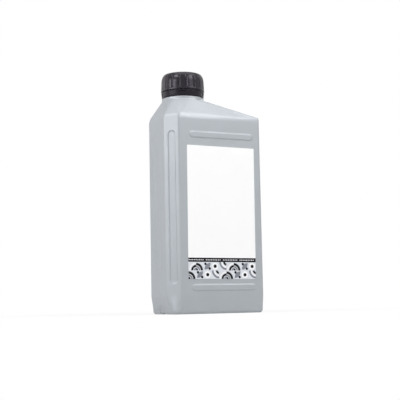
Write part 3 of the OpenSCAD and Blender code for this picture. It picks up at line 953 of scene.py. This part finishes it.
def colour_mix(nodes, links, source, first, second):
    """Mixes two colours by a factor from 0 to 1."""
    node = nodes.new("ShaderNodeMix")
    node.data_type = "RGBA"
    colours = [s for s in node.inputs if s.type == "RGBA"]
    colours[0].default_value = (*first, 1)
    colours[1].default_value = (*second, 1)
    links.new(source, node.inputs["Factor"])
    return [s for s in node.outputs if s.type == "RGBA"][0]


def math_node(nodes, links, operation, inputs):
    """A maths node; each input is a number or a socket."""
    node = nodes.new("ShaderNodeMath")
    node.operation = operation
    for i, value in enumerate(inputs):
        if isinstance(value, (int, float)):
            node.inputs[i].default_value = value
        else:
            links.new(value, node.inputs[i])
    return node.outputs[0]


def bump(nodes, links, source, distance, before=None):
    """A bump of that depth in metres, on top of an earlier one."""
    node = nodes.new("ShaderNodeBump")
    node.inputs["Strength"].default_value = 1
    node.inputs["Distance"].default_value = distance
    links.new(source, node.inputs["Height"])
    if before:
        links.new(before, node.inputs["Normal"])
    return node.outputs["Normal"]


def plastic(name, first, second, rough, grain_scale, grain_depth, wave_depth=0, specular=0.5, metallic=0,
            tint=(1, 1, 1)):
    """Moulded plastic: a little colour variation, uneven gloss, a fine grain and slow waves."""
    material = bpy.data.materials.new(name)
    material.use_nodes = True
    nodes, links = material.node_tree.nodes, material.node_tree.links
    shader = nodes["Principled BSDF"]
    coordinates = nodes.new("ShaderNodeTexCoord")
    cloud = noise(nodes, links, coordinates, *CLOUD_NOISE)
    speck = noise(nodes, links, coordinates, grain_scale * SPECK_SCALE_SHARE, SPECK_DETAIL)
    weighed = math_node(nodes, links, "MULTIPLY", (speck, SPECK_WEIGHT))
    shade = math_node(nodes, links, "MULTIPLY_ADD", (cloud, CLOUD_WEIGHT, weighed))
    factor = spread_of(nodes, links, shade, 0, 1)
    links.new(colour_mix(nodes, links, factor, first, second), shader.inputs["Base Color"])
    gloss = noise(nodes, links, coordinates, *GLOSS_NOISE)
    links.new(spread_of(nodes, links, gloss, *rough), shader.inputs["Roughness"])
    grain = noise(nodes, links, coordinates, grain_scale, GRAIN_DETAIL)
    normal = bump(nodes, links, grain, grain_depth)
    if wave_depth:
        wave = noise(nodes, links, coordinates, *WAVE_NOISE, WAVE_STRETCH)
        normal = bump(nodes, links, wave, wave_depth, normal)
    links.new(normal, shader.inputs["Normal"])
    shader.inputs["Specular IOR Level"].default_value = specular
    shader.inputs["Specular Tint"].default_value = (*tint, 1)
    shader.inputs["Metallic"].default_value = metallic
    return material


def black_plastic(name, specular):
    """The cap's black, with a slight plum tint in its shine."""
    return plastic(name, (0.0040, 0.0030, 0.0065), (0.0065, 0.0050, 0.0095), (0.17, 0.24), 2200, 0.000004,
                   specular=specular, tint=(0.96, 0.88, 1.0))


def ink(name, first, second, specular=0.5):
    """Printing ink on the label's film."""
    return plastic(name, first, second, (0.36, 0.44), 900, 0.000004, specular=specular)


body_material = plastic("silver_polyethylene", (0.365, 0.39, 0.418), (0.392, 0.418, 0.448), (0.34, 0.42),
                        2600, 0.000012, wave_depth=0.00022, metallic=0.25)
cap_material = black_plastic("black_moulding", 0.38)
ring_material = black_plastic("black_ring", 0.28)
film_material = plastic("label_film", (0.935, 0.935, 0.935), (0.955, 0.955, 0.955), (0.34, 0.42),
                        900, 0.000006, wave_depth=0.00004)
ink_field = ink("ink_pale", (0.66, 0.68, 0.73), (0.72, 0.74, 0.79))
ink_grey = ink("ink_grey", (0.19, 0.20, 0.23), (0.26, 0.27, 0.31), 0.3)
ink_black = ink("ink_black", (0.005, 0.005, 0.007), (0.010, 0.009, 0.012), 0.15)
ink_white = ink("ink_white", (0.86, 0.87, 0.89), (0.90, 0.90, 0.92))
foam_material = plastic("liner_foam", (0.80, 0.80, 0.79), (0.86, 0.86, 0.85), (0.75, 0.9), 1500, 0.00008)

for piece, material in ((bottle, body_material), (cap, cap_material), (ring, ring_material),
                        (label, film_material), (print_field, ink_field), (print_black, ink_black),
                        (print_grey, ink_grey), (print_white, ink_white)):
    piece.data.materials.clear()
    piece.data.materials.append(material)
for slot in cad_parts["cap_liner"].material_slots:
    slot.material = foam_material


def whitening(nodes, links):
    """1 for camera, glossy and transmission rays, 0 for the rays that light other surfaces."""
    rays = nodes.new("ShaderNodeLightPath").outputs
    either = math_node(nodes, links, "MAXIMUM", (rays["Is Camera Ray"], rays["Is Glossy Ray"]))
    return math_node(nodes, links, "MAXIMUM", (either, rays["Is Transmission Ray"]))


def mix_to_output(nodes, links, output_kind, share, first, second):
    """Mixes two shaders by that share and links them to a new output."""
    output = nodes.new(output_kind)
    mix = nodes.new("ShaderNodeMixShader")
    links.new(share, mix.inputs["Fac"])
    links.new(first.outputs[0], mix.inputs[1])
    links.new(second.outputs[0], mix.inputs[2])
    links.new(mix.outputs[0], output.inputs["Surface"])


# Strength of the world's own light on the object, and the share of the shadow that the floor keeps
AMBIENT = 0.25
FLOOR_SHADOW = 0.2

# Distances in metres between which the shadow fades, and the floor's size and shade
SHADOW_NEAR = 0.12
SHADOW_FAR = 0.35
FLOOR_SIZE = 20.0
FLOOR_SHADE = (0.92, 0.92, 0.92, 1)

world = bpy.data.worlds.new("studio")
bpy.context.scene.world = world
world.use_nodes = True
nodes, links = world.node_tree.nodes, world.node_tree.links
nodes.clear()
backgrounds = []
for strength in (AMBIENT, 1):
    background = nodes.new("ShaderNodeBackground")
    background.inputs["Color"].default_value = (1, 1, 1, 1)
    background.inputs["Strength"].default_value = strength
    backgrounds.append(background)
mix_to_output(nodes, links, "ShaderNodeOutputWorld", whitening(nodes, links), *backgrounds)

floor_mesh = bpy.data.meshes.new("floor")
half = FLOOR_SIZE / 2
floor_corners = [(-half, -half, 0), (half, -half, 0), (half, half, 0), (-half, half, 0)]
floor_mesh.from_pydata(floor_corners, [], [(0, 1, 2, 3)])
floor = bpy.data.objects.new("floor", floor_mesh)
bpy.context.scene.collection.objects.link(floor)
floor_material = bpy.data.materials.new("floor_white")
floor_material.use_nodes = True
nodes, links = floor_material.node_tree.nodes, floor_material.node_tree.links
nodes.clear()
matt = nodes.new("ShaderNodeBsdfDiffuse")
matt.inputs["Color"].default_value = FLOOR_SHADE
glow = nodes.new("ShaderNodeEmission")
glow.inputs["Strength"].default_value = 1
place = nodes.new("ShaderNodeTexCoord")
from_middle = nodes.new("ShaderNodeVectorMath")
from_middle.operation = "LENGTH"
links.new(place.outputs["Object"], from_middle.inputs[0])
glow_share = nodes.new("ShaderNodeMapRange")
glow_share.interpolation_type = "SMOOTHSTEP"
glow_share.inputs["From Min"].default_value = SHADOW_NEAR
glow_share.inputs["From Max"].default_value = SHADOW_FAR
glow_share.inputs["To Min"].default_value = 1 - FLOOR_SHADOW
glow_share.inputs["To Max"].default_value = 1
links.new(from_middle.outputs["Value"], glow_share.inputs["Value"])
share = math_node(nodes, links, "MULTIPLY", (whitening(nodes, links), glow_share.outputs["Result"]))
mix_to_output(nodes, links, "ShaderNodeOutputMaterial", share, matt, glow)
floor_mesh.materials.append(floor_material)

# Soft lamps: bearing and height in degrees, distance, width and length in metres, and power in watts
AIM = Vector((0, 0, 0.12))
LAMPS = {
    "lamp_left": (189, 16, 1.5, 1.0, 0.35, 6.2),
    "lamp_left_high": (206, 42, 1.5, 0.45, 0.35, 3.8),
    "lamp_right": (300, 34, 1.5, 0.85, 0.6, 7.8),
    "lamp_front_high": (308, 52, 1.5, 0.6, 0.5, 1.8),
    "lamp_top": (240, 80, 1.4, 1.3, 1.3, 7.6),
    "lamp_side": (140, 20, 1.5, 0.8, 0.6, 1.3),
    "lamp_back": (60, 45, 1.5, 0.9, 0.9, 2.5),
}
for name, (bearing, height, away, wide, long, power) in LAMPS.items():
    a, e = math.radians(bearing), math.radians(height)
    spot = AIM + away * Vector((math.cos(e) * math.cos(a), math.cos(e) * math.sin(a), math.sin(e)))
    lamp_data = bpy.data.lights.new(name, "AREA")
    lamp_data.shape = "RECTANGLE"
    lamp_data.size = wide
    lamp_data.size_y = long
    lamp_data.energy = power
    lamp = bpy.data.objects.new(name, lamp_data)
    lamp.location = spot
    lamp.rotation_mode = "QUATERNION"
    lamp.rotation_quaternion = (AIM - spot).to_track_quat("-Z", "Y")
    bpy.context.scene.collection.objects.link(lamp)

# The camera, fitted to the photograph's outline of the object: lens in millimetres, places in metres
CAMERA_LENS = 90.96
CAMERA_SENSOR_W = 36
CAMERA_NEAR = 0.05
CAMERA_FAR = 100
CAMERA_PLACE = (-0.458311, -0.916140, 0.013256)
CAMERA_RIGHT = (0.896541, -0.442539, -0.019352)
CAMERA_UP = (-0.026433, -0.097060, 0.994927)
CAMERA_AHEAD = (0.442172, 0.891481, 0.098716)
camera_data = bpy.data.cameras.new("camera")
camera_data.lens = CAMERA_LENS
camera_data.sensor_width = CAMERA_SENSOR_W
camera_data.clip_start = CAMERA_NEAR
camera_data.clip_end = CAMERA_FAR
camera = bpy.data.objects.new("camera", camera_data)
axes = (CAMERA_RIGHT, CAMERA_UP, [-c for c in CAMERA_AHEAD], CAMERA_PLACE)
camera.matrix_world = Matrix([[axis[r] for axis in axes] for r in range(3)] + [[0, 0, 0, 1]])
bpy.context.scene.collection.objects.link(camera)
bpy.context.scene.camera = camera
bpy.context.scene.view_settings.view_transform = "Standard"
